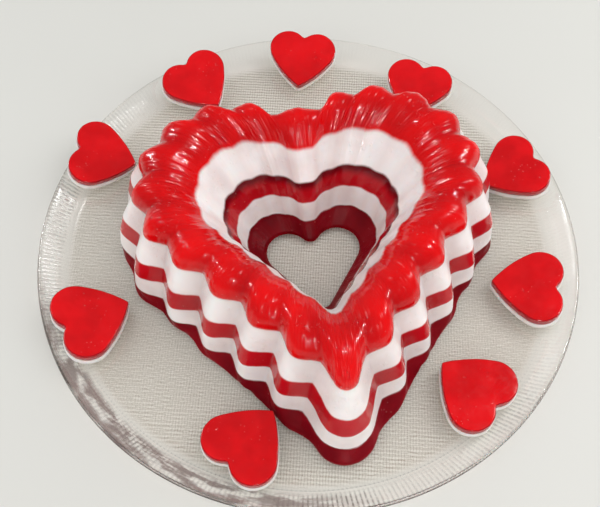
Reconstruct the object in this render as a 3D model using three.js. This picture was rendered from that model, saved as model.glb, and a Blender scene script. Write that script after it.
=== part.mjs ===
import * as THREE from 'three';

// A moulded jelly: a heart-shaped fluted ring in five layers, on a round glass plate with small jelly hearts round it.
// Millimetres, +Z up. The origin is the middle of the plate's underside, and the heart's tip points to -Y.

// Plate
const plateRadius = 150;
const wellRadius = 138; // where the flat floor bends up into the rim
const footRadius = 134; // edge of the flat underside
const floorHeight = 4; // top of the floor above the table
const rimHeight = 12.8;
const lipRadius = 1.4; // half the thickness of the rim
const plateSides = 64;
const lipSteps = 4;

// Ring of jelly, with heights above the plate's floor
const ringTurn = THREE.MathUtils.degToRad(9.4);
const ringShift = 1.8; // to the right of the plate's middle
const bow = { middle: -25, depth: 1, perSquare: 0.00025 }; // the soft ring lies a little bent to one side
const ringHeart = { lobe: 52, spread: 40, tip: 116, tipRound: 3, sideRound: 3000, cleftRound: 36, lift: 15.5 };
const levels = [
  { height: 0, reach: 14.3, flute: 4, lobeExtra: 0, tipExtra: 8, tipSoft: 0, funnel: 0 },
  { height: 7.6, reach: 14.5, flute: 5.8, lobeExtra: 0, tipExtra: 1.5, tipSoft: 0, funnel: 0.31 },
  { height: 19.9, reach: 12, flute: 7.2, lobeExtra: 0.5, tipExtra: 1.5, tipSoft: 0, funnel: 0.45 },
  { height: 31.4, reach: 7.8, flute: 6.8, lobeExtra: 1, tipExtra: 1, tipSoft: 1.5, funnel: 0.65 },
  { height: 46, reach: -0.5, flute: 5.8, lobeExtra: 2, tipExtra: 0, tipSoft: 8, funnel: 1 },
];

// The funnel through the middle, at the floor and at the crown's edge
const funnelFoot = { lobe: 12, spread: 14, tip: 31.6, tipRound: 4.4, sideRound: 3000, cleftRound: 5.7, lift: -2.1 };
const funnelMouth = { lobe: 31.6, spread: 27.3, tip: 69.5, tipRound: 4, sideRound: 3000, cleftRound: 9.5, lift: 11.5 };
const funnelFlute = 1.8; // depth of the flutes at the mouth, none at the floor

// Flutes: one on the tip, ten down each side and one in the cleft
const sideFlutes = 10;
const tipFlute = 20; // half width of the tip's flute, along the outline
const fluteWidth = 24.3; // of all the others
const fluteSharpness = 0.5; // 0 is a smooth wave, 1 is round ridges with sharp grooves
const fluteSteps = 6;
const cleftSteps = 3;
const tipCrowding = 1.5; // over 1 draws the steps of the tip's flute together round the tip

// Crown: the rounded top of the ring
const crownShoulder = 15; // height of the curve's handle over the outer edge, which makes a steep shoulder
const crownHandle = { share: 0.55, rise: 21 }; // second handle, and its part of the way from edge to funnel
const crownSteps = 9;
const ridgeOutside = 0.22; // part of the crown's height that the grooves take away
const ridgeInside = 0.06;

// Skirt: the thin edge of jelly that ran out under the mould and fills the foot of the grooves
const skirtFlute = 1.5; // depth of the flutes that still shows in it
const skirtWaves = 1.3; // how much its width comes and goes
const skirtThickness = 1.2;

// Small hearts, of red jelly on white
const smallHeart = { lobe: 12, spread: 9.3, tip: 24.5, tipRound: 1.5, sideRound: 65, cleftRound: 1.6, lift: 0 };
const smallSteps = 12; // round half a heart
const whiteThickness = 3;
const redThickness = 5;
const topEdge = 0.9; // rounding of the upper edge
const gap = 0.3; // between a small heart's layers and under it
const smallHearts = [
  { bearing: 122, reach: 137.5, swing: 8, size: 0.99 },
  { bearing: 91.5, reach: 138, swing: -8, size: 0.98 },
  { bearing: 58.5, reach: 134.5, swing: 11, size: 0.96 },
  { bearing: 21.5, reach: 136, swing: 3, size: 0.97 },
  { bearing: -13, reach: 130, swing: 3.5, size: 1.01 },
  { bearing: -45.5, reach: 127, swing: 3, size: 1.02 },
  { bearing: -106, reach: 124, swing: -23.5, size: 1.01 },
  { bearing: -156.5, reach: 132, swing: 6, size: 1.04 },
  { bearing: 156.5, reach: 140.5, swing: 15, size: 0.98 },
];

// Finishes
const glass = new THREE.MeshStandardMaterial({ color: 0xdde3e0, roughness: 0.05, metalness: 0 });
const redJelly = new THREE.MeshStandardMaterial({ color: 0xc81a20, roughness: 0.2, metalness: 0 });
const darkJelly = new THREE.MeshStandardMaterial({ color: 0x78101c, roughness: 0.2, metalness: 0 });
const whiteJelly = new THREE.MeshStandardMaterial({ color: 0xf4efe8, roughness: 0.3, metalness: 0 });

// Right half of a heart as tangent arcs, from the tip round the lobe to the cleft, centred on the line x = 0
function halfHeart({ lobe, spread, tip, tipRound, sideRound, cleftRound, lift }) {
  const tipCentre = new THREE.Vector2(0, -tip);
  const lobeCentre = new THREE.Vector2(spread, 0);
  const axis = lobeCentre.clone().sub(tipCentre);
  const length = axis.length();
  axis.normalize();
  const toTip = sideRound - tipRound;
  const toLobe = sideRound - lobe;
  const along = (toTip ** 2 - toLobe ** 2 + length ** 2) / (2 * length);
  const across = Math.sqrt(toTip ** 2 - along ** 2);
  const sideCentre = new THREE.Vector2(-axis.y, axis.x).multiplyScalar(across);
  sideCentre.addScaledVector(axis, along).add(tipCentre);
  const sideStart = tipCentre.clone().sub(sideCentre).angle() - 2 * Math.PI;
  const sideEnd = lobeCentre.clone().sub(sideCentre).angle() - 2 * Math.PI;
  const cleftHeight = Math.sqrt((lobe + cleftRound) ** 2 - spread ** 2);
  const lobeEnd = Math.atan2(cleftHeight, -spread);
  const half = new THREE.Path();
  half.absarc(0, lift - tip, tipRound, -Math.PI / 2, sideStart, false);
  half.absarc(sideCentre.x, lift + sideCentre.y, sideRound, sideStart, sideEnd, false);
  half.absarc(spread, lift, lobe, sideEnd, lobeEnd, false);
  half.absarc(0, lift + cleftHeight, cleftRound, lobeEnd - Math.PI, -Math.PI / 2, true);
  return half;
}

// Points round a whole heart at a height. Each place is a share of the half outline, pushed out by its own offset.
function heartRing(shape, places, height) {
  const half = halfHeart(shape);
  const right = places.map(({ share, offset }) => {
    const point = half.getPoint(share);
    const tangent = half.getTangent(share);
    return new THREE.Vector3(point.x + tangent.y * offset, point.y - tangent.x * offset, height);
  });
  right[0].x = 0;
  right[right.length - 1].x = 0;
  const left = right.slice(1, -1).reverse().map((point) => new THREE.Vector3(-point.x, point.y, height));
  return [...right, ...left];
}

// Closed solid through rings of points: capped at both ends, or with its last ring joined back to its first
function solidFromRings(rings, capped) {
  const count = rings[0].length;
  const strips = capped ? rings.length - 1 : rings.length;
  const triangles = [];
  for (let row = 0; row < strips; row += 1) {
    const here = row * count;
    const beyond = ((row + 1) % rings.length) * count;
    for (let i = 0; i < count; i += 1) {
      const next = (i + 1) % count;
      triangles.push(here + i, here + next, beyond + next);
      triangles.push(here + i, beyond + next, beyond + i);
    }
  }
  if (capped) {
    const last = (rings.length - 1) * count;
    const outline = rings[0].map((point) => new THREE.Vector2(point.x, point.y));
    for (const [a, b, c] of THREE.ShapeUtils.triangulateShape(outline, [])) {
      triangles.push(a, c, b, last + a, last + b, last + c);
    }
  }
  const geometry = new THREE.BufferGeometry().setFromPoints(rings.flat());
  geometry.setIndex(triangles);
  geometry.computeVertexNormals();
  return geometry;
}

function addPiece(parent, name, geometry, material) {
  const mesh = new THREE.Mesh(geometry, material);
  mesh.name = name;
  parent.add(mesh);
}

// Plate
function riseOfPlate(radius) {
  const slope = (rimHeight - floorHeight) / (plateRadius - lipRadius - wellRadius);
  return Math.max(0, Math.min(radius, plateRadius) - wellRadius) * slope;
}

function plateGeometry() {
  const lipHeight = rimHeight - lipRadius;
  const lipCentre = plateRadius - lipRadius;
  const rimAngle = Math.atan2(rimHeight - floorHeight, lipCentre - wellRadius);
  const profile = new THREE.Path();
  profile.moveTo(0, 0);
  profile.lineTo(footRadius, 0);
  profile.absarc(lipCentre, lipHeight, lipRadius, rimAngle - Math.PI / 2, rimAngle + Math.PI / 2, false);
  profile.lineTo(wellRadius, floorHeight);
  profile.lineTo(0, floorHeight);
  return new THREE.LatheGeometry(profile.getPoints(lipSteps), plateSides);
}

// Ring
const halfLength = tipFlute + (sideFlutes + 0.5) * fluteWidth;

// Places along half the outline, with ridge 1 on a flute's ridge and 0 in a groove
function fluteStations() {
  const phases = [];
  for (let i = 0; i <= fluteSteps; i += 1) {
    phases.push(0.5 * (i / fluteSteps) ** tipCrowding);
  }
  for (let i = 1; i <= sideFlutes * fluteSteps; i += 1) {
    phases.push(0.5 + i / fluteSteps);
  }
  for (let i = 1; i <= cleftSteps; i += 1) {
    phases.push(0.5 + sideFlutes + (0.5 * i) / cleftSteps);
  }
  return phases.map((phase) => {
    const length = phase < 0.5 ? 2 * phase * tipFlute : tipFlute + (phase - 0.5) * fluteWidth;
    const wave = 0.5 + 0.5 * Math.cos(2 * Math.PI * phase);
    const round = Math.abs(Math.cos(Math.PI * phase));
    return { share: length / halfLength, ridge: wave + fluteSharpness * (round - wave) };
  });
}

const stations = fluteStations();

function mix(from, to, share) {
  return from + (to - from) * share;
}

function bend(points) {
  for (const point of points) {
    point.x += bow.depth - bow.perSquare * (point.y - bow.middle) ** 2;
  }
  return points;
}

// The outline at a level. A soft tip is rounder, and reaches as far.
function levelShape({ tipExtra, tipSoft, lobeExtra }) {
  const tip = ringHeart.tip + tipExtra - tipSoft;
  return { ...ringHeart, tip, tipRound: ringHeart.tipRound + tipSoft, lobe: ringHeart.lobe + lobeExtra };
}

function outerRing(level, height) {
  const places = stations.map(({ share, ridge }) => ({ share, offset: level.reach - level.flute * (1 - ridge) }));
  return bend(heartRing(levelShape(level), places, height));
}

function skirtRing(height) {
  const places = stations.map(({ share, ridge }) => {
    const waves = skirtWaves * Math.sin(23 * share) * Math.cos(57 * share + 1);
    return { share, offset: levels[0].reach - skirtFlute * (1 - ridge) + waves };
  });
  return bend(heartRing(levelShape(levels[0]), places, height));
}

function funnelRing(level) {
  const shape = {};
  for (const key of Object.keys(funnelFoot)) {
    shape[key] = mix(funnelFoot[key], funnelMouth[key], level.funnel);
  }
  const places = stations.map(({ share, ridge }) => ({
    share,
    offset: funnelFlute * level.funnel * (ridge - 1),
  }));
  return bend(heartRing(shape, places, level.height));
}

// Rings of the crown's rounded top, from its outer edge to the funnel's mouth
function crownRings(outer, inner) {
  const ridges = stations.map(({ ridge }) => ridge);
  const around = [...ridges, ...ridges.slice(1, -1).reverse()];
  const curve = new THREE.CubicBezierCurve(
    new THREE.Vector2(0, 0),
    new THREE.Vector2(0, crownShoulder),
    new THREE.Vector2(crownHandle.share, crownHandle.rise),
    new THREE.Vector2(1, 0),
  );
  const rings = [];
  for (let row = 1; row < crownSteps; row += 1) {
    const { x: share, y: rise } = curve.getPoint(row / crownSteps);
    const groove = mix(ridgeOutside, ridgeInside, share);
    rings.push(outer.map((point, i) => {
      const place = point.clone().lerp(inner[i], share);
      place.z = point.z + rise * (1 - groove * (1 - around[i]));
      return place;
    }));
  }
  return rings;
}

function addRing(parent) {
  const group = new THREE.Group();
  group.position.set(ringShift, 0, floorHeight);
  group.rotation.z = ringTurn;
  const outer = levels.map((level) => outerRing(level, level.height));
  const inner = levels.map((level) => funnelRing(level));
  const foot = [skirtRing(0), skirtRing(skirtThickness), outerRing(levels[0], 2 * skirtThickness)];
  const base = [...foot, outer[1], inner[1], inner[0]];
  addPiece(group, 'ring_1_base_red', solidFromRings(base, false), darkJelly);
  const between = [
    ['ring_2_lower_white', whiteJelly],
    ['ring_3_middle_red', redJelly],
    ['ring_4_upper_white', whiteJelly],
  ];
  between.forEach(([name, material], i) => {
    const rings = [outer[i + 1], outer[i + 2], inner[i + 2], inner[i + 1]];
    addPiece(group, name, solidFromRings(rings, false), material);
  });
  const edge = outer[outer.length - 1];
  const mouth = inner[inner.length - 1];
  const crown = [edge, ...crownRings(edge, mouth), mouth];
  addPiece(group, 'ring_5_top_red', solidFromRings(crown, false), redJelly);
  parent.add(group);
}

// Small hearts: the near tip stands on the floor, and the far end is tilted up just enough to clear the rim
function smallRing(size, inset, height) {
  const places = [];
  for (let i = 0; i <= smallSteps; i += 1) {
    places.push({ share: i / smallSteps, offset: -inset });
  }
  const points = heartRing(smallHeart, places, height);
  return points.map((point) => new THREE.Vector3(point.x * size, point.y * size, height));
}

function addSmallHeart(parent, index, { bearing, reach, swing, size }) {
  const turn = THREE.MathUtils.degToRad(swing - 90);
  const up = new THREE.Vector3(0, 0, 1);
  const place = (inset, height) => smallRing(size, inset, height).map((point) => point.applyAxisAngle(up, turn));
  const outline = place(0, 0);
  const near = Math.min(...outline.map((point) => point.x));
  const slopes = outline.map((point) => {
    const run = Math.max(point.x - near, 1);
    return riseOfPlate(Math.hypot(reach + point.x, point.y)) / run;
  });
  const bed = new THREE.Group();
  bed.position.set(reach + near, 0, floorHeight + gap);
  bed.rotation.y = -Math.atan(Math.max(...slopes));
  const lay = (points) => points.map((point) => point.setX(point.x - near));
  const white = [place(0, 0), place(0, whiteThickness)].map(lay);
  const redBottom = whiteThickness + gap;
  const redTop = redBottom + redThickness;
  const red = [place(0, redBottom), place(0, redTop - topEdge), place(topEdge, redTop)].map(lay);
  addPiece(bed, `heart_${index}_white`, solidFromRings(white, true), whiteJelly);
  addPiece(bed, `heart_${index}_red`, solidFromRings(red, true), redJelly);
  const arm = new THREE.Group();
  arm.rotation.z = THREE.MathUtils.degToRad(bearing);
  arm.add(bed);
  parent.add(arm);
}

const group = new THREE.Group();
const upright = new THREE.Group();
upright.rotation.x = Math.PI / 2;
addPiece(upright, 'plate', plateGeometry(), glass);
group.add(upright);
addRing(group);
smallHearts.forEach((heart, i) => addSmallHeart(group, i + 1, heart));

export default group;
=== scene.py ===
import bpy
import math
from mathutils import Matrix, Vector


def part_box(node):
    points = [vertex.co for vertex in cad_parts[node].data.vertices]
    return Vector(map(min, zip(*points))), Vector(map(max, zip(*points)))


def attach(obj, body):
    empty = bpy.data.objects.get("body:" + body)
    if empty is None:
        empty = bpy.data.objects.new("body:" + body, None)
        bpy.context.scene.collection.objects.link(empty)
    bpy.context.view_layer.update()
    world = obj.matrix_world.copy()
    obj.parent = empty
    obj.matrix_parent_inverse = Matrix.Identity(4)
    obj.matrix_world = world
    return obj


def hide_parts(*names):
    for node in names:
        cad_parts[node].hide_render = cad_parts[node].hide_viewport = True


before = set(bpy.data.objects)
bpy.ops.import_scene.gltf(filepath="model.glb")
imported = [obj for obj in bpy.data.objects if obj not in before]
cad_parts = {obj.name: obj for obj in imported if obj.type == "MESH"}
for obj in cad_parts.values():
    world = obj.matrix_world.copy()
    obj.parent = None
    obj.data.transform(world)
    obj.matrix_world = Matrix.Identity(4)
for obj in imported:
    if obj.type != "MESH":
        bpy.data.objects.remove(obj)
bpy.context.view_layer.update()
print("frame loaded")

mm = 0.001
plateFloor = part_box("ring_1_base_red")[0].z / mm  # the jelly stands on the plate's floor
fullTurn = 2 * math.pi


def srgb(red, green, blue):
    parts = [c / 255 for c in (red, green, blue)]
    return tuple(c / 12.92 if c <= 0.04045 else ((c + 0.055) / 1.055) ** 2.4 for c in parts) + (1.0,)


def blend(first, second, share):
    return first + (second - first) * share


# Heart outlines in millimetres: tangent arcs from the tip round one lobe to the cleft, then mirrored

def arcPoints(centre, radius, start, end, steps, outward=1):
    points = []
    for i in range(steps + 1):
        angle = blend(start, end, i / steps)
        normal = Vector((math.cos(angle), math.sin(angle)))
        points.append((centre + normal * radius, normal * outward))
    return points


def halfHeart(shape, steps=40):
    tip = Vector((0, -shape["tip"]))
    lobe = Vector((shape["spread"], 0))
    lift = Vector((0, shape["lift"]))
    axis = (lobe - tip).normalized()
    length = (lobe - tip).length
    toTip = shape["sideRound"] - shape["tipRound"]
    toLobe = shape["sideRound"] - shape["lobe"]
    along = (toTip ** 2 - toLobe ** 2 + length ** 2) / (2 * length)
    side = tip + axis * along + Vector((-axis.y, axis.x)) * math.sqrt(toTip ** 2 - along ** 2)
    sideStart = math.atan2(tip.y - side.y, tip.x - side.x)
    sideEnd = math.atan2(lobe.y - side.y, lobe.x - side.x)
    cleft = math.sqrt((shape["lobe"] + shape["cleftRound"]) ** 2 - shape["spread"] ** 2)
    lobeEnd = math.atan2(cleft, -shape["spread"])
    notch = Vector((0, cleft)) + lift
    points = arcPoints(tip + lift, shape["tipRound"], -math.pi / 2, sideStart, steps)
    points += arcPoints(side + lift, shape["sideRound"], sideStart, sideEnd, steps)[1:]
    points += arcPoints(lobe + lift, shape["lobe"], sideEnd, lobeEnd, 3 * steps)[1:]
    points += arcPoints(notch, shape["cleftRound"], lobeEnd - math.pi, -math.pi / 2, steps, -1)[1:]
    return points


def heartLoop(shape, shares):
    half = halfHeart(shape)
    lengths = [0]
    for (before, _), (after, _) in zip(half, half[1:]):
        lengths.append(lengths[-1] + (after - before).length)
    right = []
    i = 0
    for share in shares:
        target = share * lengths[-1]
        while i < len(lengths) - 2 and lengths[i + 1] < target:
            i += 1
        part = (target - lengths[i]) / max(lengths[i + 1] - lengths[i], 1e-9)
        point = half[i][0].lerp(half[i + 1][0], part)
        normal = half[i][1].lerp(half[i + 1][1], part).normalized()
        right.append((point, normal))
    left = [(Vector((-p.x, p.y)), Vector((-n.x, n.y))) for p, n in right[1:-1]]
    return right + left[::-1]


# A skin of loops: a closed ring of them, or one whose two ends run to a middle point

def skinMesh(name, loops, poles=None):
    count = len(loops[0])
    vertices = [point for loop in loops for point in loop]
    faces = []
    for row in range(len(loops) - (1 if poles else 0)):
        here = row * count
        there = ((row + 1) % len(loops)) * count
        for i in range(count):
            after = (i + 1) % count
            faces.append((here + i, here + after, there + after, there + i))
    if poles:
        low = len(vertices)
        last = (len(loops) - 1) * count
        vertices += poles
        faces += [(low, (i + 1) % count, i) for i in range(count)]
        faces += [(low + 1, last + i, last + (i + 1) % count) for i in range(count)]
    mesh = bpy.data.meshes.new(name)
    mesh.from_pydata(vertices, [], faces)
    mesh.shade_smooth()
    return mesh


def newPiece(name, mesh):
    piece = bpy.data.objects.new(name, mesh)
    bpy.context.scene.collection.objects.link(piece)
    return piece


def store(mesh, name, values, kind="FLOAT", domain="POINT"):
    attribute = mesh.attributes.new(name, kind, domain)
    if kind == "FLOAT_VECTOR":
        attribute.data.foreach_set("vector", [part for value in values for part in value])
    else:
        attribute.data.foreach_set("value", values)


# Node helpers, for geometry and shader trees alike

def wire(tree, value, socket):
    if isinstance(value, bpy.types.NodeSocket):
        tree.links.new(value, socket)
    else:
        socket.default_value = value


def calc(tree, operation, *values):
    node = tree.nodes.new("ShaderNodeMath")
    node.operation = operation
    for value, socket in zip(values, node.inputs):
        wire(tree, value, socket)
    return node.outputs[0]


def scaled(tree, vector, factor):
    node = tree.nodes.new("ShaderNodeVectorMath")
    node.operation = "SCALE"
    wire(tree, vector, node.inputs[0])
    wire(tree, factor, node.inputs["Scale"])
    return node.outputs[0]


def noise(tree, place, scale, detail=2.0, rough=0.5):
    node = tree.nodes.new("ShaderNodeTexNoise")
    wire(tree, place, node.inputs["Vector"])
    wire(tree, scale, node.inputs["Scale"])
    node.inputs["Detail"].default_value = detail
    node.inputs["Roughness"].default_value = rough
    return node.outputs[0]


def rangeOf(tree, value, low, high, toLow=0.0, toHigh=1.0):
    node = tree.nodes.new("ShaderNodeMapRange")
    node.interpolation_type = "SMOOTHSTEP"
    for part, socket in zip((value, low, high, toLow, toHigh), node.inputs):
        wire(tree, part, socket)
    return node.outputs[0]


def mixColours(tree, share, first, second):
    node = tree.nodes.new("ShaderNodeMix")
    node.data_type = "RGBA"
    wire(tree, share, node.inputs[0])
    wire(tree, first, node.inputs[6])
    wire(tree, second, node.inputs[7])
    return node.outputs[2]


def bump(tree, height, strength, distance):
    node = tree.nodes.new("ShaderNodeBump")
    wire(tree, height, node.inputs["Height"])
    node.inputs["Strength"].default_value = strength
    node.inputs["Distance"].default_value = distance
    return node.outputs[0]


def newGroup(name, kind, inputs, outputs):
    tree = bpy.data.node_groups.new(name, kind)
    for label, socket in inputs:
        tree.interface.new_socket(label, in_out="INPUT", socket_type="NodeSocket" + socket)
    for label, socket in outputs:
        tree.interface.new_socket(label, in_out="OUTPUT", socket_type="NodeSocket" + socket)
    start = tree.nodes.new("NodeGroupInput").outputs
    end = tree.nodes.new("NodeGroupOutput").inputs
    return tree, start, end


def named(tree, label, kind="FLOAT"):
    node = tree.nodes.new("GeometryNodeInputNamedAttribute")
    node.data_type = kind
    node.inputs["Name"].default_value = label
    return node.outputs["Attribute"]


def shifted(tree, shape, offset):
    node = tree.nodes.new("GeometryNodeSetPosition")
    wire(tree, shape, node.inputs["Geometry"])
    wire(tree, offset, node.inputs["Offset"])
    return node.outputs[0]


def painted(tree, shape, material, selection=None):
    node = tree.nodes.new("GeometryNodeSetMaterial")
    wire(tree, shape, node.inputs["Geometry"])
    wire(tree, material, node.inputs["Material"])
    if selection is not None:
        wire(tree, selection, node.inputs["Selection"])
    return node.outputs[0]


def realized(tree, shape):
    node = tree.nodes.new("GeometryNodeRealizeInstances")
    wire(tree, shape, node.inputs[0])
    return node.outputs[0]


def inward(tree, place, scale, depth):
    share = noise(tree, place, scale)
    normal = tree.nodes.new("GeometryNodeInputNormal").outputs[0]
    sink = calc(tree, "MULTIPLY", calc(tree, "MULTIPLY", share, depth), -1.0)
    return scaled(tree, normal, sink)


def applyTree(piece, tree, values):
    modifier = piece.modifiers.new(tree.name, "NODES")
    modifier.node_group = tree
    for item in tree.interface.items_tree:
        if item.in_out == "INPUT" and item.name in values:
            modifier[item.identifier] = values[item.name]
    bpy.context.view_layer.update()
    graph = bpy.context.evaluated_depsgraph_get()
    made = bpy.data.meshes.new_from_object(piece.evaluated_get(graph), depsgraph=graph)
    piece.modifiers.clear()
    piece.data = made
    made.name = piece.name
    return piece


def finishPiece(piece, nodes):
    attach(piece, "root")
    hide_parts(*nodes)


# The jelly's colours by height in millimetres above the plate's floor, each edge painting over what is below

def makeLayersGroup(layers):
    tree, start, end = newGroup(
        "jellyLayers",
        "ShaderNodeTree",
        [("Place", "Vector"), ("Across", "Float"), ("Crease", "Float"), ("Edge Wave", "Float")],
        [("Color", "Color"), ("White", "Float")],
    )
    split = tree.nodes.new("ShaderNodeSeparateXYZ")
    wire(tree, start["Place"], split.inputs[0])
    height = calc(tree, "SUBTRACT", calc(tree, "DIVIDE", split.outputs[2], mm), plateFloor)
    sway = calc(tree, "SUBTRACT", noise(tree, start["Place"], layers["waveScale"]), 0.5)
    height = calc(tree, "ADD", height, calc(tree, "MULTIPLY", sway, start["Edge Wave"]))
    cloud = noise(tree, start["Place"], layers["cloudScale"], layers["cloudDetail"])
    cloud = rangeOf(tree, cloud, *layers["cloudRange"])
    colour = mixColours(tree, cloud, layers["dark"], layers["darkLit"])
    shadeLow, shadeHigh = layers["shadeRange"]
    white = 0.0
    for edge in layers["edges"]:
        blur = rangeOf(tree, start["Across"], 0.0, 1.0, edge["outside"], edge["inside"])
        low = calc(tree, "SUBTRACT", edge["height"], blur)
        high = calc(tree, "ADD", edge["height"], blur)
        share = rangeOf(tree, height, low, high)
        first, second = layers[edge["colour"]], layers[edge["colour"] + "Deep"]
        # Painted shade: flute creases take the layer's Deep colour, fading toward the inside, mixed with a
        # random cloudy share
        outer = calc(tree, "MULTIPLY_ADD", start["Across"], -layers["creaseShadeFade"], 1.0)
        creaseShade = calc(tree, "MULTIPLY", start["Crease"], outer)
        clouded = calc(tree, "MULTIPLY", cloud, layers["cloudShare"])
        depth = calc(tree, "MULTIPLY_ADD", creaseShade, edge["crease"], clouded)
        own = mixColours(tree, calc(tree, "MINIMUM", depth, 1.0), first, second)
        top = rangeOf(tree, height, edge["height"] + shadeLow, edge["height"] + shadeHigh, 0.0, edge["shade"])
        own = mixColours(tree, calc(tree, "MULTIPLY", top, start["Across"]), own, layers["shaded"])
        colour = mixColours(tree, share, colour, own)
        target = 1.0 if edge["colour"] == "white" else 0.0
        white = calc(tree, "MULTIPLY_ADD", calc(tree, "SUBTRACT", target, white), share, white)
    wire(tree, colour, end["Color"])
    wire(tree, white, end["White"])
    return tree


# Tiny bubbles in patches, from a cell texture

speckShape = {"core": 0.5, "patchScale": 0.23, "patchRange": (0.5, 0.62)}


def makeSpecksGroup():
    tree, start, end = newGroup(
        "tinyBubbles",
        "ShaderNodeTree",
        [("Place", "Vector"), ("Scale", "Float"), ("Size", "Float")],
        [("Mask", "Float")],
    )
    cells = tree.nodes.new("ShaderNodeTexVoronoi")
    wire(tree, start["Place"], cells.inputs["Vector"])
    wire(tree, start["Scale"], cells.inputs["Scale"])
    core = calc(tree, "MULTIPLY", start["Size"], speckShape["core"])
    near = rangeOf(tree, cells.outputs["Distance"], core, start["Size"], 1.0, 0.0)
    patchScale = calc(tree, "MULTIPLY", start["Scale"], speckShape["patchScale"])
    patch = rangeOf(tree, noise(tree, start["Place"], patchScale), *speckShape["patchRange"])
    wire(tree, calc(tree, "MULTIPLY", near, patch), end["Mask"])
    return tree


def placed(tree, group, values):
    node = tree.nodes.new("ShaderNodeGroup")
    node.node_tree = group
    for label, value in values.items():
        wire(tree, value, node.inputs[label])
    return node.outputs


def newMaterial(name):
    material = bpy.data.materials.new(name)
    material.use_nodes = True
    tree = material.node_tree
    shader = tree.nodes["Principled BSDF"]
    place = tree.nodes.new("ShaderNodeTexCoord").outputs["Object"]
    return material, tree, shader, place


def readAttribute(tree, label):
    node = tree.nodes.new("ShaderNodeAttribute")
    node.attribute_name = label
    return node.outputs["Fac"]


layers = {
    "dark": srgb(112, 2, 14),
    "darkLit": srgb(134, 8, 22),
    "white": srgb(248, 242, 239),
    # The Deep colours are painted shade for the flute creases, and also serve the random cloudy tone
    "whiteDeep": srgb(214, 197, 193),
    "middle": srgb(192, 14, 28),
    "middleDeep": srgb(158, 8, 18),
    "crown": srgb(225, 6, 10),
    "crownDeep": srgb(164, 0, 8),
    "shaded": srgb(98, 0, 12),
    "shadeRange": (5.5, 10.5),
    "creaseShadeFade": 0.6,
    "waveScale": 70,
    "cloudScale": 45,
    "cloudDetail": 3.0,
    "cloudRange": (0.35, 0.65),
    "cloudShare": 0.35,
    "edges": [
        {"height": 7.6, "colour": "white", "outside": 0.5, "inside": 0.5, "crease": 0.6, "shade": 0.0},
        {"height": 19.9, "colour": "middle", "outside": 0.5, "inside": 0.6, "crease": 0.4, "shade": 0.95},
        {"height": 31.4, "colour": "white", "outside": 0.6, "inside": 0.7, "crease": 0.6, "shade": 0.0},
        {"height": 46.6, "colour": "crown", "outside": 1.1, "inside": 1.3, "crease": 0.35, "shade": 0.0},
    ],
}
layersGroup = makeLayersGroup(layers)
specksGroup = makeSpecksGroup()


# Wet jelly: ripples and bubbles under a thin coat whose radial strands break up the glints on the crown

jelly = {
    "edgeWave": 2.4,
    "bubbles": {"Scale": 260.0, "Size": 0.16},
    "bubbleAndGlintShare": 0.08,
    "bubbleAndGlintColour": srgb(255, 200, 190),
    "bubbleHeight": 0.6,
    "glossScale": 130.0,
    "glossRange": (0.3, 0.7),
    "glossExtra": 0.06,
    "streakScale": 1.1,
    "crownRange": (0.046, 0.054, 0.15, 1.6),
    "rippleScale": 160.0,
    "rippleHeight": 0.4,
    "crinkleScale": 420.0,
    "crinkleRange": (0.56, 0.72),
    "crinkleHeight": 0.45,
    "patchScale": 90.0,
    "patchRange": (0.5, 0.6),
    "relief": (0.6, 0.0009),
    "strandScale": 55.0,
    "strandRange": (0.42, 0.62, 0.25, 1.0),
    "filmBubbles": 0.5,
    "film": (0.45, 0.0009),
}


def jellyRelief(tree, place, streaks, onCrown, bubbles):
    crinkle = rangeOf(tree, noise(tree, place, jelly["crinkleScale"]), *jelly["crinkleRange"])
    patches = rangeOf(tree, noise(tree, place, jelly["patchScale"]), *jelly["patchRange"])
    ripple = calc(tree, "MULTIPLY", noise(tree, place, jelly["rippleScale"]), jelly["rippleHeight"])
    ripple = calc(tree, "MULTIPLY_ADD", streaks, onCrown, ripple)
    crinkle = calc(tree, "MULTIPLY", crinkle, patches)
    ripple = calc(tree, "MULTIPLY_ADD", crinkle, jelly["crinkleHeight"], ripple)
    return calc(tree, "MULTIPLY_ADD", bubbles, jelly["bubbleHeight"], ripple)


def jellyFilm(tree, place, streaks, onCrown, bubbles):
    wet = rangeOf(tree, noise(tree, place, jelly["strandScale"]), *jelly["strandRange"])
    strands = calc(tree, "MULTIPLY", streaks, wet)
    small = calc(tree, "MULTIPLY", bubbles, jelly["filmBubbles"])
    return calc(tree, "MULTIPLY_ADD", strands, onCrown, small)


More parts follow.
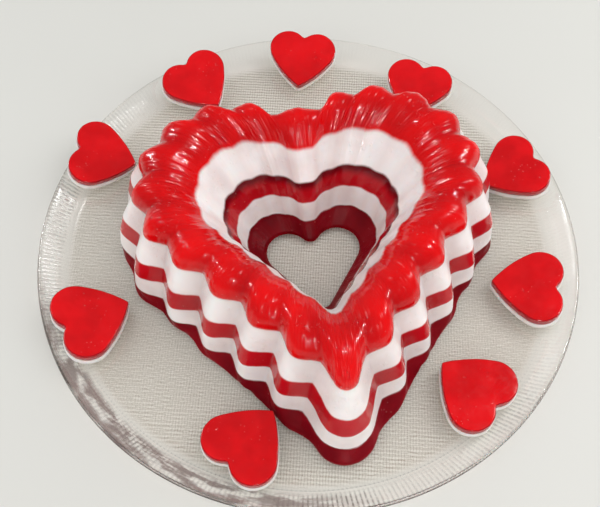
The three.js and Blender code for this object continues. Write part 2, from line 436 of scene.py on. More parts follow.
def makeJelly(name, look):
    material, tree, shader, place = newMaterial(name)
    across = readAttribute(tree, "across")
    crease = readAttribute(tree, "crease")
    values = {"Place": place, "Across": across, "Crease": crease, "Edge Wave": jelly["edgeWave"]}
    parts = placed(tree, layersGroup, values)
    bubbles = placed(tree, specksGroup, {"Place": place, **jelly["bubbles"]})[0]
    # Pale specks: tiny bubbles, partly painted glints
    share = calc(tree, "MULTIPLY", bubbles, jelly["bubbleAndGlintShare"])
    colour = mixColours(tree, share, parts["Color"], jelly["bubbleAndGlintColour"])
    wire(tree, colour, shader.inputs["Base Color"])
    low, high = look["roughness"], look["roughness"] + jelly["glossExtra"]
    gloss = rangeOf(tree, noise(tree, place, jelly["glossScale"]), *jelly["glossRange"], low, high)
    gloss = rangeOf(tree, parts["White"], 0.0, 1.0, gloss, look["whiteRoughness"])
    wire(tree, gloss, shader.inputs["Roughness"])
    around = tree.nodes.new("ShaderNodeAttribute")
    around.attribute_name = "around"
    streaks = noise(tree, around.outputs["Vector"], jelly["streakScale"], 1.0)
    split = tree.nodes.new("ShaderNodeSeparateXYZ")
    wire(tree, place, split.inputs[0])
    onCrown = rangeOf(tree, split.outputs[2], *jelly["crownRange"])
    relief = jellyRelief(tree, place, streaks, onCrown, bubbles)
    wire(tree, bump(tree, relief, *jelly["relief"]), shader.inputs["Normal"])
    film = jellyFilm(tree, place, streaks, onCrown, bubbles)
    wire(tree, bump(tree, film, *jelly["film"]), shader.inputs["Coat Normal"])
    for label, value in look["shader"].items():
        shader.inputs[label].default_value = value
    return material


def jellyShader(wet, level, weight, radius, scale):
    return {
        "Coat Weight": wet,
        "Coat Roughness": 0.03,
        "Coat IOR": 1.4,
        "Specular IOR Level": level,
        "IOR": 1.36,
        "Subsurface Weight": weight,
        "Subsurface Radius": radius,
        "Subsurface Scale": scale,
    }


darkJelly = makeJelly("dark red jelly", {
    "roughness": 0.34,
    "whiteRoughness": 0.3,
    "shader": jellyShader(wet=0.0, level=0.12, weight=0.6, radius=(1.0, 0.12, 0.1), scale=0.002),
})
whiteJelly = makeJelly("white milk jelly", {
    "roughness": 0.16,
    "whiteRoughness": 0.34,
    "shader": jellyShader(wet=0.15, level=0.5, weight=0.8, radius=(1.0, 0.72, 0.62), scale=0.0035),
})
redJelly = makeJelly("clear red jelly", {
    "roughness": 0.2,
    "whiteRoughness": 0.3,
    "shader": jellyShader(wet=0.65, level=0.22, weight=0.9, radius=(1.0, 0.1, 0.08), scale=0.007),
})
print("jelly finishes made")

# The ring: outer wall, crown, funnel and foot as one skin, so that no inner face shows through

ring = {
    "turn": math.radians(9.4),
    "place": Vector((1.8, 0, plateFloor + 0.03)),
    "heart": {
        "lobe": 52, "spread": 40, "lift": 15.5,
        "tip": 116, "tipRound": 3, "sideRound": 3000, "cleftRound": 36,
    },
    "funnelFoot": {
        "lobe": 12, "spread": 14, "lift": -2.1,
        "tip": 31.6, "tipRound": 4.4, "sideRound": 3000, "cleftRound": 5.7,
    },
    "funnelMouth": {
        "lobe": 31.6, "spread": 27.3, "lift": 11.5,
        "tip": 69.5, "tipRound": 4, "sideRound": 3000, "cleftRound": 9.5,
    },
    "levels": [
        {
            "height": 0, "reach": 14.3, "flute": 4, "funnel": 0, "steps": 0,
            "lobeExtra": 0, "tipExtra": 8, "tipSoft": 0,
        },
        {
            "height": 7.6, "reach": 14.5, "flute": 5.8, "funnel": 0.31, "steps": 5,
            "lobeExtra": 0, "tipExtra": 1.5, "tipSoft": 0,
        },
        {
            "height": 19.9, "reach": 12, "flute": 7.2, "funnel": 0.45, "steps": 8,
            "lobeExtra": 0.5, "tipExtra": 1.5, "tipSoft": 0,
        },
        {
            "height": 31.4, "reach": 7.8, "flute": 6.8, "funnel": 0.65, "steps": 8,
            "lobeExtra": 1, "tipExtra": 1, "tipSoft": 1.5,
        },
        {
            "height": 46, "reach": -0.5, "flute": 5.8, "funnel": 1, "steps": 10,
            "lobeExtra": 2, "tipExtra": 0, "tipSoft": 8,
        },
    ],
    "sideFlutes": 10,
    "tipFlute": 20,
    "fluteWidth": 24.3,
    "fluteSteps": 26,
    "tipSteps": 26,
    "tipCrowding": 1.5,
    "funnelFlute": 1.4,
    "crownShoulder": 15,
    "crownHandle": (0.55, 21),
    "crownSteps": 30,
    "ridgeOutside": 0.17,
    "ridgeInside": 0.05,
    "ridgeFade": 0.55,
    "skirtFlute": 1.5,
    "skirtWaves": 1.3,
    "skirtTurns": (23, 57, 1),
    "skirtTop": 2.4,
    "wrinkleTurns": 26,
    "wrinkleRise": 1.5,
    "wallPleats": 0.25,
    "pleatsFrom": 30,
    "pleatsRise": 32,
}


def ringStations():
    steps = ring["fluteSteps"]
    flutes = ring["sideFlutes"] + 1
    tipSteps = ring["tipSteps"]
    phases = [0.5 * (i / tipSteps) ** ring["tipCrowding"] for i in range(tipSteps)]
    phases += [0.5 + i / steps for i in range(round((flutes - 0.5) * steps) + 1)]
    lengths = []
    for phase in phases:
        near = min(phase, 0.5) * 2 * ring["tipFlute"]
        lengths.append(near + max(phase - 0.5, 0) * ring["fluteWidth"])
    shares = [length / lengths[-1] for length in lengths]
    return phases + phases[1:-1][::-1], shares


def outerRow(level, shares):
    shape = dict(ring["heart"])
    shape["tip"] += level["tipExtra"] - level["tipSoft"]
    shape["tipRound"] += level["tipSoft"]
    shape["lobe"] += level["lobeExtra"]
    return [(p + n * level["reach"], n * -level["flute"]) for p, n in heartLoop(shape, shares)]


def funnelRow(level, shares):
    foot, mouth = ring["funnelFoot"], ring["funnelMouth"]
    shape = {key: blend(foot[key], mouth[key], level["funnel"]) for key in foot}
    return [(p, n * -ring["funnelFlute"] * level["funnel"]) for p, n in heartLoop(shape, shares)]


def mixRows(first, second, share):
    return [(a.lerp(c, share), b.lerp(d, share)) for (a, b), (c, d) in zip(first, second)]


def risen(row, height, drop=0.0):
    return [((p.x, p.y, height), (g.x, g.y, -drop)) for p, g in row]


def ringRows():
    phases, shares = ringStations()
    levels = ring["levels"]
    outer = [outerRow(level, shares) for level in levels]
    inner = [funnelRow(level, shares) for level in levels]
    mirrored = shares + shares[1:-1][::-1]
    slow, quick, ahead = ring["skirtTurns"]
    skirt = []
    for (point, groove), share in zip(outer[0], mirrored):
        normal = groove.normalized() * -1
        wave = ring["skirtWaves"] * math.sin(slow * share) * math.cos(quick * share + ahead)
        skirt.append((point + normal * wave, normal * -ring["skirtFlute"]))
    rows = [(risen(skirt, 0), 0), (risen(skirt, ring["skirtTop"] / 2), 0)]
    rows.append((risen(outer[0], ring["skirtTop"]), 0))
    for i, level in enumerate(levels[1:], 1):
        low = max(levels[i - 1]["height"], ring["skirtTop"])
        for step in range(1, level["steps"] + 1):
            share = step / level["steps"]
            row = mixRows(outer[i - 1], outer[i], share)
            rows.append((risen(row, blend(low, level["height"], share)), 0))
    handle, rise = ring["crownHandle"]
    for step in range(1, ring["crownSteps"]):
        t = step / ring["crownSteps"]
        across = 3 * (1 - t) * t * t * handle + t ** 3
        up = 3 * (1 - t) ** 2 * t * ring["crownShoulder"] + 3 * (1 - t) * t * t * rise
        fade = across ** ring["ridgeFade"]
        drop = up * blend(ring["ridgeOutside"], ring["ridgeInside"], fade)
        row = [(a.lerp(c, across), b.lerp(d, fade)) for (a, b), (c, d) in zip(outer[-1], inner[-1])]
        rows.append((risen(row, levels[-1]["height"] + up, drop), across))
    for i in range(len(levels) - 1, 0, -1):
        steps = levels[i]["steps"]
        for step in range(steps):
            share = step / steps
            height = blend(levels[i]["height"], levels[i - 1]["height"], share)
            rows.append((risen(mixRows(inner[i], inner[i - 1], share), height), 1))
    rows.append((risen(inner[0], 0), 1))
    return rows, phases


def makeFluteTree():
    tree, start, end = newGroup(
        "moulded flutes",
        "GeometryNodeTree",
        [
            ("Geometry", "Geometry"), ("Flute Depth", "Float"),
            ("Wobble", "Float"), ("Wobble Size", "Float"), ("Wrinkle", "Float"),
            ("Bow Depth", "Float"), ("Bow Middle", "Float"), ("Bow Per Square", "Float"),
            ("Dark Jelly", "Material"), ("White Jelly", "Material"), ("Red Jelly", "Material"),
        ],
        [("Geometry", "Geometry")],
    )
    phase = named(tree, "phase")
    wave = calc(tree, "COSINE", calc(tree, "MULTIPLY", phase, fullTurn))
    wave = calc(tree, "MULTIPLY_ADD", wave, 0.5, 0.5)
    arch = calc(tree, "ABSOLUTE", calc(tree, "COSINE", calc(tree, "MULTIPLY", phase, math.pi)))
    ridge = calc(tree, "MULTIPLY", calc(tree, "ADD", wave, arch), 0.5)
    crease = calc(tree, "SUBTRACT", 1.0, ridge)
    keep = tree.nodes.new("GeometryNodeStoreNamedAttribute")
    keep.inputs["Name"].default_value = "crease"
    wire(tree, start["Geometry"], keep.inputs["Geometry"])
    wire(tree, crease, keep.inputs["Value"])
    depth = calc(tree, "MULTIPLY", crease, start["Flute Depth"])
    groove = named(tree, "groove", "FLOAT_VECTOR")
    shape = shifted(tree, keep.outputs[0], scaled(tree, groove, depth))
    place = tree.nodes.new("GeometryNodeInputPosition").outputs[0]
    size = calc(tree, "DIVIDE", 1.0, start["Wobble Size"])
    shape = shifted(tree, shape, inward(tree, place, size, start["Wobble"]))
    pleats = calc(tree, "MULTIPLY", named(tree, "pleats"), start["Wrinkle"])
    shape = shifted(tree, shape, inward(tree, named(tree, "around", "FLOAT_VECTOR"), 1.0, pleats))
    split = tree.nodes.new("ShaderNodeSeparateXYZ")
    wire(tree, place, split.inputs[0])
    away = calc(tree, "SUBTRACT", split.outputs[1], start["Bow Middle"])
    bent = calc(tree, "MULTIPLY", calc(tree, "MULTIPLY", away, away), start["Bow Per Square"])
    move = tree.nodes.new("ShaderNodeCombineXYZ")
    wire(tree, calc(tree, "SUBTRACT", start["Bow Depth"], bent), move.inputs[0])
    shape = realized(tree, shifted(tree, shape, move.outputs[0]))
    for band, label in enumerate(("Dark Jelly", "White Jelly", "Red Jelly")):
        off = calc(tree, "ABSOLUTE", calc(tree, "SUBTRACT", named(tree, "band"), float(band)))
        shape = painted(tree, shape, start[label], calc(tree, "LESS_THAN", off, 0.5))
    wire(tree, shape, end["Geometry"])
    return tree


def pleatShare(height, across):
    onCrown = math.sin(math.pi * min(across, 1 - across) ** 0.5) if 0 < across < 1 else 0
    low = ring["wallPleats"]
    inFunnel = across * max(0, height - ring["pleatsFrom"]) / ring["pleatsRise"]
    return low + (1 - low) * max(onCrown, inFunnel)


def bandOf(height):
    levels = [level["height"] for level in ring["levels"]]
    return (0, 1, 2, 1, 2)[sum(height > level for level in levels[1:])]


def makeRing():
    rows, phases = ringRows()
    mesh = skinMesh("jellyRing", [[point for point, _ in row] for row, _ in rows])
    count = len(phases)
    store(mesh, "phase", phases * len(rows))
    store(mesh, "groove", [groove for row, _ in rows for _, groove in row], "FLOAT_VECTOR")
    store(mesh, "across", [float(across) for _, across in rows for _ in range(count)])
    pleats = [pleatShare(row[0][0][2], across) for row, across in rows]
    store(mesh, "pleats", [share for share in pleats for _ in range(count)])
    reach = ring["wrinkleTurns"]
    angles = [fullTurn * i / count for i in range(count)]
    turns = [(reach * math.cos(angle), reach * math.sin(angle)) for angle in angles]
    around = [(x, y, ring["wrinkleRise"] * across) for _, across in rows for x, y in turns]
    store(mesh, "around", around, "FLOAT_VECTOR")
    bands = []
    for polygon in mesh.polygons:
        heights = [mesh.vertices[i].co.z for i in polygon.vertices]
        bands.append(float(bandOf(sum(heights) / len(heights))))
    store(mesh, "band", bands, "FLOAT", "FACE")
    piece = newPiece("jellyRing", mesh)
    applyTree(piece, makeFluteTree(), {
        "Flute Depth": 1.0,
        "Wobble": 0.65,
        "Wobble Size": 14.0,
        "Wrinkle": 1.3,
        "Bow Depth": 1.0,
        "Bow Middle": -25.0,
        "Bow Per Square": 0.00025,
        "Dark Jelly": darkJelly,
        "White Jelly": whiteJelly,
        "Red Jelly": redJelly,
    })
    toPlate = Matrix.Translation(ring["place"]) @ Matrix.Rotation(ring["turn"], 4, "Z")
    piece.data.transform(Matrix.Scale(mm, 4) @ toPlate)
    return piece


jellyRing = makeRing()
finishPiece(jellyRing, [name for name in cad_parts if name.startswith("ring_")])
print("jelly ring made:", len(jellyRing.data.polygons), "faces")

# The small hearts round the rim, each a red slab on a thin white one

smallHeart = {
    "outline": {
        "lobe": 12, "spread": 9.3, "lift": 0,
        "tip": 24.5, "tipRound": 1.5, "sideRound": 65, "cleftRound": 1.6,
    },
    "steps": 44,
    "roundSteps": 5,
    "footRound": 0.5,
    "white": {"low": 0.0, "high": 3.25, "round": 0.35, "grow": 0.4},
    "red": {"low": 3.3, "high": 8.3, "round": 0.9, "grow": 0.0},
    "capRows": 9,
    "middle": Vector((0, -3)),
    "gap": 0.3,
    "wellRadius": 138,
    "plateRadius": 150,
    "rimSlope": 8.8 / 10.6,
    "places": [
        {"bearing": 122, "reach": 137.5, "swing": 8, "size": 0.99},
        {"bearing": 91.5, "reach": 138, "swing": -8, "size": 0.98},
        {"bearing": 58.5, "reach": 134.5, "swing": 11, "size": 0.96},
        {"bearing": 21.5, "reach": 136, "swing": 3, "size": 0.97},
        {"bearing": -13, "reach": 130, "swing": 3.5, "size": 1.01},
        {"bearing": -45.5, "reach": 127, "swing": 3, "size": 1.02},
        {"bearing": -106, "reach": 124, "swing": -23.5, "size": 1.01},
        {"bearing": -156.5, "reach": 132, "swing": 6, "size": 1.04},
        {"bearing": 156.5, "reach": 140.5, "swing": 15, "size": 0.98},
    ],
}
evenShares = [i / smallHeart["steps"] for i in range(smallHeart["steps"] + 1)]
smallOutline = heartLoop(smallHeart["outline"], evenShares)


def slabMesh(name, slab):
    foot = slab["round"] * smallHeart["footRound"]
    rim = [(foot, slab["low"]), (0.0, slab["low"] + foot)]
    turns = smallHeart["roundSteps"]
    for i in range(turns + 1):
        angle = math.pi / 2 * i / turns
        inset = slab["round"] * (1 - math.cos(angle))
        rim.append((inset, slab["high"] - slab["round"] * (1 - math.sin(angle))))
    loops = []
    shrink = [i / smallHeart["capRows"] for i in range(1, smallHeart["capRows"])]
    middle = smallHeart["middle"]
    for share in shrink[::-1]:
        flat = [(p - n * foot).lerp(middle, share) for p, n in smallOutline]
        loops.append([(p.x, p.y, slab["low"]) for p in flat])
    for inset, height in rim:
        edge = [p + n * (slab["grow"] - inset) for p, n in smallOutline]
        loops.append([(p.x, p.y, height) for p in edge])
    for share in shrink:
        flat = [(p - n * slab["round"]).lerp(middle, share) for p, n in smallOutline]
        loops.append([(p.x, p.y, slab["high"]) for p in flat])
    poles = [(middle.x, middle.y, slab["low"]), (middle.x, middle.y, slab["high"])]
    mesh = skinMesh(name, loops, poles)
    edges = [0.0] * len(shrink) + [1.0] * (len(rim) - 1) + [0.0] * (len(shrink) + 1)
    store(mesh, "edge", [edge for edge in edges for _ in smallOutline] + [0.0, 0.0])
    return mesh


def rimRise(radius):
    past = max(0.0, min(radius, smallHeart["plateRadius"]) - smallHeart["wellRadius"])
    return past * smallHeart["rimSlope"]


def heartPlaces():
    points, turns, sizes = [], [], []
    for spot in smallHeart["places"]:
        swing = Matrix.Rotation(math.radians(spot["swing"] - 90), 4, "Z")
        outline = [swing @ (p * spot["size"]).to_3d() for p, _ in smallOutline]
        near = min(p.x for p in outline)
        lean = max(rimRise(math.hypot(spot["reach"] + p.x, p.y)) / max(p.x - near, 1) for p in outline)
        arm = Matrix.Rotation(math.radians(spot["bearing"]), 4, "Z")
        tilt = Matrix.Rotation(-math.atan(lean), 4, "Y")
        bed = Matrix.Translation((spot["reach"] + near, 0, plateFloor + smallHeart["gap"]))
        whole = arm @ bed @ tilt @ Matrix.Translation((-near, 0, 0)) @ swing
        points.append(whole.to_translation())
        turns.append(tuple(whole.to_euler()))
        sizes.append((spot["size"], spot["size"], 1.0))
    return points, turns, sizes


def makeScatterTree():
    tree, start, end = newGroup(
        "hearts round the rim",
        "GeometryNodeTree",
        [
            ("Geometry", "Geometry"), ("Heart", "Object"),
            ("Wobble", "Float"), ("Wobble Size", "Float"), ("Finish", "Material"),
        ],
        [("Geometry", "Geometry")],
    )
    heart = tree.nodes.new("GeometryNodeObjectInfo")
    wire(tree, start["Heart"], heart.inputs["Object"])
    spread = tree.nodes.new("GeometryNodeInstanceOnPoints")
    wire(tree, start["Geometry"], spread.inputs["Points"])
    wire(tree, heart.outputs["Geometry"], spread.inputs["Instance"])
    turn = tree.nodes.new("FunctionNodeEulerToRotation")
    wire(tree, named(tree, "turn", "FLOAT_VECTOR"), turn.inputs[0])
    wire(tree, turn.outputs[0], spread.inputs["Rotation"])
    wire(tree, named(tree, "size", "FLOAT_VECTOR"), spread.inputs["Scale"])
    shape = realized(tree, spread.outputs[0])
    place = tree.nodes.new("GeometryNodeInputPosition").outputs[0]
    size = calc(tree, "DIVIDE", 1.0, start["Wobble Size"])
    shape = shifted(tree, shape, inward(tree, place, size, start["Wobble"]))
    wire(tree, painted(tree, shape, start["Finish"]), end["Geometry"])
    return tree


heartJelly = {
    "cloudScale": 55.0,
    "cloudDetail": 3.0,
    "cloudRange": (0.32, 0.68),
    "bubbles": {"Scale": 420.0, "Size": 0.2},
    "bubbleHeight": 0.7,
    "sideShare": 0.8,
    "glossScale": 200.0,
    "glossRange": (0.3, 0.7),
    "glossExtra": 0.1,
    "reliefScale": 110.0,
    "relief": (0.4, 0.0006),
    "shader": {"IOR": 1.4, "Subsurface Weight": 0.7, "Subsurface Scale": 0.002},
}


def makeHeartFinish(name, look):
    material, tree, shader, place = newMaterial(name)
    cloud = noise(tree, place, heartJelly["cloudScale"], heartJelly["cloudDetail"])
    cloud = rangeOf(tree, cloud, *heartJelly["cloudRange"])
    colour = mixColours(tree, cloud, look["first"], look["second"])
    bubbles = placed(tree, specksGroup, {"Place": place, **heartJelly["bubbles"]})[0]
    # Pale specks: tiny bubbles, partly painted glints
    share = calc(tree, "MULTIPLY", bubbles, look["bubbleAndGlintShare"])
    colour = mixColours(tree, share, colour, look["bubbleAndGlint"])
    # The side rows take their own colour: darker on the red slab as painted shade, lighter on the white slab
    # as painted light
    edge = calc(tree, "MULTIPLY", readAttribute(tree, "edge"), heartJelly["sideShare"])
    colour = mixColours(tree, edge, colour, look["side"])
    wire(tree, colour, shader.inputs["Base Color"])
    gloss = noise(tree, place, heartJelly["glossScale"])
    low, high = look["roughness"], look["roughness"] + heartJelly["glossExtra"]
    gloss = rangeOf(tree, gloss, *heartJelly["glossRange"], low, high)
    wire(tree, gloss, shader.inputs["Roughness"])
    relief = noise(tree, place, heartJelly["reliefScale"])
    relief = calc(tree, "MULTIPLY_ADD", bubbles, heartJelly["bubbleHeight"], relief)
    wire(tree, bump(tree, relief, *heartJelly["relief"]), shader.inputs["Normal"])
    shader.inputs["Subsurface Radius"].default_value = look["radius"]
    for label, value in heartJelly["shader"].items():
        shader.inputs[label].default_value = value
    return material


def makeHearts(name, slab, finish, scatter):
    points, turns, sizes = heartPlaces()
    mesh = bpy.data.meshes.new(name)
    mesh.from_pydata(points, [], [])
    store(mesh, "turn", turns, "FLOAT_VECTOR")
    store(mesh, "size", sizes, "FLOAT_VECTOR")
    pattern = newPiece(name + "Pattern", slabMesh(name + "Pattern", slab))
    piece = newPiece(name, mesh)
    values = {"Heart": pattern, "Wobble": 0.5, "Wobble Size": 9.0, "Finish": finish}
    applyTree(piece, scatter, values)
    bpy.data.objects.remove(pattern)
    piece.data.transform(Matrix.Scale(mm, 4))
    return piece


heartRed = makeHeartFinish("red heart jelly", {
    "first": srgb(226, 10, 20),
    "second": srgb(206, 6, 15),
    "side": srgb(158, 2, 18),
    "bubbleAndGlint": srgb(255, 170, 165),
    "bubbleAndGlintShare": 0.12,
    "roughness": 0.1,
    "radius": (1.0, 0.12, 0.1),
})
heartWhite = makeHeartFinish("white heart jelly", {
    "first": srgb(246, 240, 236),
    "second": srgb(238, 226, 220),
    "side": srgb(250, 244, 241),
    "bubbleAndGlint": srgb(255, 250, 248),
    "bubbleAndGlintShare": 0.3,
    "roughness": 0.3,
    "radius": (1.0, 0.75, 0.65),
})
scatterTree = makeScatterTree()
heartNumbers = range(1, len(smallHeart["places"]) + 1)
redHearts = makeHearts("smallHeartsRed", smallHeart["red"], heartRed, scatterTree)
finishPiece(redHearts, [f"heart_{n}_red" for n in heartNumbers])
whiteHearts = makeHearts("smallHeartsWhite", smallHeart["white"], heartWhite, scatterTree)
finishPiece(whiteHearts, [f"heart_{n}_white" for n in heartNumbers])
print("small hearts made")

# The glass plate, with fine ribs pressed under its rim

plate = {
    "footRadius": 134,
    "wellRadius": 138,
    "lipRadius": 1.4,
    "plateRadius": 150,
    "rimRise": 8.8,
    "rimRun": 10.6,
    "ribs": 380,
    "sidesPerRib": 4,
    "ribDepth": 0.3,
    "lipSteps": 8,
    "slopeRows": 6,
    "floorShares": (0.2, 0.45, 0.7, 0.9),
    "beadWide": 1.1,
    "beadRise": 0.45,
    "beadRows": 8,
}


def plateProfile():
    slope = math.atan2(plate["rimRise"], plate["rimRun"])
    lipRadius = plate["lipRadius"]
    centre = Vector((plate["plateRadius"] - lipRadius, plateFloor + plate["rimRise"] - lipRadius))
    start, stop = slope - math.pi / 2, slope + math.pi / 2
    lip = [p for p, _ in arcPoints(centre, lipRadius, start, stop, plate["lipSteps"])]
    foot = Vector((plate["footRadius"], 0))
    well = Vector((plate["wellRadius"], plateFloor))
    rows = [(Vector((foot.x * share, 0)), 0.0) for share in plate["floorShares"]]
    for i in range(plate["slopeRows"] + 1):
        share = i / plate["slopeRows"]
        rows.append((foot.lerp(lip[0], share), math.sin(math.pi * share)))
    rows += [(point, 0.0) for point in lip[1:-1]]
    beadStart = well + Vector((plate["beadWide"], 0))
    for i in range(plate["slopeRows"]):
        rows.append((lip[-1].lerp(beadStart, i / plate["slopeRows"]), 0.0))
    for i in range(plate["beadRows"] + 1):
        share = i / plate["beadRows"]
        rise = max(0, 1 - 2 * share) * plate["beadWide"] * plate["rimRise"] / plate["rimRun"]
        swell = plate["beadRise"] * math.sin(math.pi * share) ** 2
        rows.append((well + Vector((plate["beadWide"] * (1 - 2 * share), rise + swell)), 0.0))
    rows += [(Vector((well.x * share, plateFloor)), 0.0) for share in plate["floorShares"][::-1]]
    return rows


def makeRibTree():
    tree, start, end = newGroup(
        "pressed ribs",
        "GeometryNodeTree",
        [
            ("Geometry", "Geometry"), ("Rib Count", "Float"),
            ("Rib Depth", "Float"), ("Glass", "Material"),
        ],
        [("Geometry", "Geometry")],
    )
    wave = calc(tree, "COSINE", calc(tree, "MULTIPLY", named(tree, "bearing"), start["Rib Count"]))
    depth = calc(tree, "MULTIPLY", calc(tree, "MULTIPLY_ADD", wave, -0.5, 0.5), named(tree, "rib"))
    depth = calc(tree, "MULTIPLY", calc(tree, "MULTIPLY", depth, start["Rib Depth"]), -1.0)
    normal = tree.nodes.new("GeometryNodeInputNormal").outputs[0]
    shape = realized(tree, shifted(tree, start["Geometry"], scaled(tree, normal, depth)))
    wire(tree, painted(tree, shape, start["Glass"]), end["Geometry"])
    return tree


# Clear glass, with pressed lines in the well and painted refraction on the rim: darker lines along the ribs
# and a mottled cast on the near side

glass = {
    "clear": srgb(254, 253, 251),
    "line": srgb(184, 175, 160),
    # The rib colour and the mottled cast below are painted refraction on the rim
    "rib": srgb(160, 156, 153),
    "paintedRefraction": srgb(140, 120, 118),
    "through": srgb(255, 254, 253),
    "lineTurn": math.radians(3),
    "lineSpacing": {"Y": 150.0, "X": 210.0},
    "lineSway": 3.0,
    "lineSwayScale": 1.6,
    "lineRange": (0.55, 0.95),
    "crossShare": 0.55,
    "lineShare": 0.6,
    "wellEdge": (0.132, 0.137, 1.0, 0.0),
    "slopeEdge": (0.137, 0.141),
    "ribRange": (-0.2, 0.9),
    "ribBreakScale": 520.0,
    "ribBreaks": (0.38, 0.58, 0.3, 1.0),
    "near": (-0.56, -0.83),
    "patchScale": 14.0,
    "patchRange": (0.42, 0.6, 0.3, 0.9),
    "patchSide": (-0.04, 0.06, 0.12, 1.0),
    "mottleAround": 9.0,
    "mottleAcross": 260.0,
    "mottleRange": (0.4, 0.56),
    "paintedRefractionSide": (0.095, 0.13),
    "paintedRefractionShare": 0.8,
    "waveScale": 45.0,
    "lineHeight": 0.7,
    "relief": (0.05, 0.0006),
    "glossScale": 90.0,
    "glossRange": (0.3, 0.7, 0.05, 0.12),
    "ior": 1.48,
}


def pressedLines(tree, place):
    turned = tree.nodes.new("ShaderNodeMapping")
    wire(tree, place, turned.inputs["Vector"])
    turned.inputs["Rotation"].default_value = (0, 0, glass["lineTurn"])
    threads = []
    for direction, spacing in glass["lineSpacing"].items():
        lines = tree.nodes.new("ShaderNodeTexWave")
        lines.bands_direction = direction
        wire(tree, turned.outputs[0], lines.inputs["Vector"])
        lines.inputs["Scale"].default_value = spacing
        lines.inputs["Distortion"].default_value = glass["lineSway"]
        lines.inputs["Detail Scale"].default_value = glass["lineSwayScale"]
        threads.append(rangeOf(tree, lines.outputs["Fac"], *glass["lineRange"]))
    return calc(tree, "MULTIPLY_ADD", threads[1], glass["crossShare"], threads[0])


def fromMiddle(tree, east, north):
    flat = tree.nodes.new("ShaderNodeCombineXYZ")
    wire(tree, east, flat.inputs[0])
    wire(tree, north, flat.inputs[1])
    radius = tree.nodes.new("ShaderNodeVectorMath")
    radius.operation = "LENGTH"
    wire(tree, flat.outputs[0], radius.inputs[0])
    return radius.outputs["Value"]


# Painted refraction: darker lines along the ribs in patches, full on the near side of the rim
def rimRibRefraction(tree, place, bearing, slope, side):
    wave = calc(tree, "COSINE", calc(tree, "MULTIPLY", bearing, float(plate["ribs"])))
    ribs = calc(tree, "MULTIPLY", rangeOf(tree, wave, *glass["ribRange"]), slope)
    breaks = rangeOf(tree, noise(tree, place, glass["ribBreakScale"]), *glass["ribBreaks"])
    ribs = calc(tree, "MULTIPLY", ribs, breaks)
    patchy = rangeOf(tree, noise(tree, place, glass["patchScale"]), *glass["patchRange"])
    patchy = calc(tree, "MULTIPLY", patchy, rangeOf(tree, side, *glass["patchSide"]))
    return calc(tree, "MULTIPLY", ribs, patchy)


# Painted refraction: a mottled reddish-grey cast on the near side of the rim
def rimPaintedRefraction(tree, bearing, radius, slope, side):
    along = tree.nodes.new("ShaderNodeCombineXYZ")
    wire(tree, calc(tree, "MULTIPLY", bearing, glass["mottleAround"]), along.inputs[0])
    wire(tree, calc(tree, "MULTIPLY", radius, glass["mottleAcross"]), along.inputs[1])
    mottle = rangeOf(tree, noise(tree, along.outputs[0], 1.0, 4.0, 0.65), *glass["mottleRange"])
    refractionMask = calc(tree, "MULTIPLY", mottle, slope)
    refractionMask = calc(tree, "MULTIPLY", refractionMask, rangeOf(tree, side, *glass["paintedRefractionSide"]))
    return calc(tree, "MULTIPLY", refractionMask, glass["paintedRefractionShare"])


def letLightThrough(tree, shader):
    path = tree.nodes.new("ShaderNodeLightPath").outputs
    clear = tree.nodes.new("ShaderNodeBsdfTransparent")
    wire(tree, glass["through"], clear.inputs["Color"])
    mixed = tree.nodes.new("ShaderNodeMixShader")
    wire(tree, calc(tree, "MAXIMUM", path["Is Shadow Ray"], path["Is Diffuse Ray"]), mixed.inputs[0])
    wire(tree, shader.outputs[0], mixed.inputs[1])
    wire(tree, clear.outputs[0], mixed.inputs[2])
    wire(tree, mixed.outputs[0], tree.nodes["Material Output"].inputs["Surface"])


def makeGlass():
    material, tree, shader, place = newMaterial("pressed clear glass")
    split = tree.nodes.new("ShaderNodeSeparateXYZ")
    wire(tree, place, split.inputs[0])
    east, north = split.outputs[0], split.outputs[1]
    radius = fromMiddle(tree, east, north)
    well = rangeOf(tree, radius, *glass["wellEdge"])
    linen = calc(tree, "MULTIPLY", pressedLines(tree, place), well)
    share = calc(tree, "MULTIPLY", linen, glass["lineShare"])
    colour = mixColours(tree, share, glass["clear"], glass["line"])
    bearing = readAttribute(tree, "bearing")
    slope = rangeOf(tree, radius, *glass["slopeEdge"])
    nearEast, nearNorth = glass["near"]
    side = calc(tree, "MULTIPLY_ADD", north, nearNorth, calc(tree, "MULTIPLY", east, nearEast))
    colour = mixColours(tree, rimRibRefraction(tree, place, bearing, slope, side), colour, glass["rib"])
    colour = mixColours(tree, rimPaintedRefraction(tree, bearing, radius, slope, side), colour, glass["paintedRefraction"])
    wire(tree, colour, shader.inputs["Base Color"])
    relief = calc(tree, "MULTIPLY_ADD", linen, glass["lineHeight"], noise(tree, place, glass["waveScale"]))
    wire(tree, bump(tree, relief, *glass["relief"]), shader.inputs["Normal"])
    gloss = rangeOf(tree, noise(tree, place, glass["glossScale"]), *glass["glossRange"])
    wire(tree, gloss, shader.inputs["Roughness"])
    shader.inputs["IOR"].default_value = glass["ior"]
    shader.inputs["Transmission Weight"].default_value = 1.0
    letLightThrough(tree, shader)
    return material


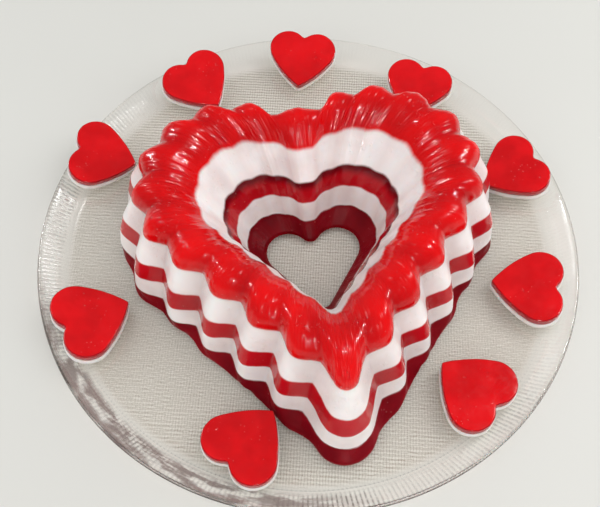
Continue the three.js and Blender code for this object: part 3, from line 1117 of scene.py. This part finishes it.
def makePlate():
    rows = plateProfile()
    sides = plate["ribs"] * plate["sidesPerRib"]
    bearings = [fullTurn * i / sides for i in range(sides)]
    loops = [[(p.x * math.cos(b), p.x * math.sin(b), p.y) for b in bearings] for p, _ in rows]
    mesh = skinMesh("glassPlate", loops, [(0, 0, 0), (0, 0, plateFloor)])
    store(mesh, "bearing", bearings * len(rows) + [0.0, 0.0])
    store(mesh, "rib", [rib for _, rib in rows for _ in bearings] + [0.0, 0.0])
    piece = newPiece("glassPlate", mesh)
    values = {"Rib Count": float(plate["ribs"]), "Rib Depth": plate["ribDepth"], "Glass": makeGlass()}
    applyTree(piece, makeRibTree(), values)
    piece.data.transform(Matrix.Scale(mm, 4))
    return piece


glassPlate = makePlate()
finishPiece(glassPlate, ["plate"])
print("glass plate made")

# Plain floor, soft window-like light and the camera

studio = {
    "floorSize": 6,
    "floorColour": srgb(216, 215, 208),
    "floorColourDeep": srgb(212, 211, 204),
    "floorPatches": 6.0,
    "floorRoughness": 0.6,
    "floorDrop": 0.0001,
    "strips": [
        {
            "name": "window", "from": Vector((0.8, 0.35, 1.0)),
            "wide": 0.04, "long": 0.5, "power": 5.8, "for": "glossy",
        },
        {
            "name": "front", "from": Vector((0.12, -1.0, 0.9)),
            "wide": 0.022, "long": 0.9, "power": 5.0, "for": "glossy",
        },
        {
            "name": "left", "from": Vector((-0.75, 0.45, 0.7)),
            "wide": 0.022, "long": 0.7, "power": 4.2, "for": "glossy",
        },
        {
            "name": "rightSoft", "from": Vector((0.9, 0.1, 0.8)),
            "wide": 1.0, "long": 1.0, "power": 4.0, "for": "diffuse",
        },
        {
            "name": "leftSoft", "from": Vector((-0.8, -0.7, 0.9)),
            "wide": 1.0, "long": 1.0, "power": 1.8, "for": "diffuse",
        },
    ],
    "stripDistance": 1.05,
    "worldColour": (0.97, 0.98, 1.0, 1.0),
    "worldStrength": 0.885,
    "worldSheen": 0.24,
}


def makeFloor():
    half = studio["floorSize"] / 2
    corners = [(-half, -half), (half, -half), (half, half), (-half, half)]
    mesh = bpy.data.meshes.new("floor")
    mesh.from_pydata([(x, y, -studio["floorDrop"]) for x, y in corners], [], [(0, 1, 2, 3)])
    floor = newPiece("floor", mesh)
    material, tree, shader, place = newMaterial("plain pale floor")
    patches = noise(tree, place, studio["floorPatches"])
    shade = mixColours(tree, patches, studio["floorColour"], studio["floorColourDeep"])
    wire(tree, shade, shader.inputs["Base Color"])
    shader.inputs["Roughness"].default_value = studio["floorRoughness"]
    mesh.materials.append(material)


def makeStrip(strip):
    light = bpy.data.lights.new(strip["name"], "AREA")
    light.shape = "RECTANGLE"
    light.size = strip["wide"]
    light.size_y = strip["long"]
    light.energy = strip["power"]
    lamp = bpy.data.objects.new(strip["name"], light)
    lamp.location = strip["from"].normalized() * studio["stripDistance"]
    lamp.rotation_euler = strip["from"].to_track_quat("Z", "Y").to_euler()
    lamp.visible_glossy = strip["for"] == "glossy"
    lamp.visible_diffuse = strip["for"] == "diffuse"
    lamp.visible_transmission = False
    bpy.context.scene.collection.objects.link(lamp)


def makeWorld():
    world = bpy.data.worlds.new("studio")
    world.use_nodes = True
    sky = world.node_tree.nodes["Background"]
    sky.inputs["Color"].default_value = studio["worldColour"]
    tree = world.node_tree
    path = tree.nodes.new("ShaderNodeLightPath").outputs
    mirrored = calc(tree, "SUBTRACT", path["Is Glossy Ray"], path["Is Transmission Ray"])
    strength = rangeOf(tree, mirrored, 0.0, 1.0, studio["worldStrength"], studio["worldSheen"])
    wire(tree, strength, sky.inputs["Strength"])
    bpy.context.scene.world = world


shot = {
    "target": Vector((-4.659, -9.867, 0)),
    "distance": 454.147,
    "elevation": math.radians(62.207),
    "roll": math.radians(0.367),
    "lens": 48,
    "sensor": 36,
    "shift": (0.00045, 0.0201),
}


def makeCamera():
    data = bpy.data.cameras.new("camera")
    data.lens = shot["lens"]
    data.sensor_width = shot["sensor"]
    data.shift_x, data.shift_y = shot["shift"]
    camera = bpy.data.objects.new("camera", data)
    back = Vector((0, -math.cos(shot["elevation"]), math.sin(shot["elevation"])))
    right = Vector((1, 0, 0))
    up = back.cross(right)
    turned = right * math.cos(shot["roll"]) + up * math.sin(shot["roll"])
    raised = up * math.cos(shot["roll"]) - right * math.sin(shot["roll"])
    place = Matrix.Translation((shot["target"] + back * shot["distance"]) * mm)
    camera.matrix_world = place @ Matrix((turned, raised, back)).transposed().to_4x4()
    bpy.context.scene.collection.objects.link(camera)
    bpy.context.scene.camera = camera


makeFloor()
for strip in studio["strips"]:
    makeStrip(strip)
makeWorld()
makeCamera()
bpy.context.scene.view_settings.view_transform = "Standard"
print("studio made")
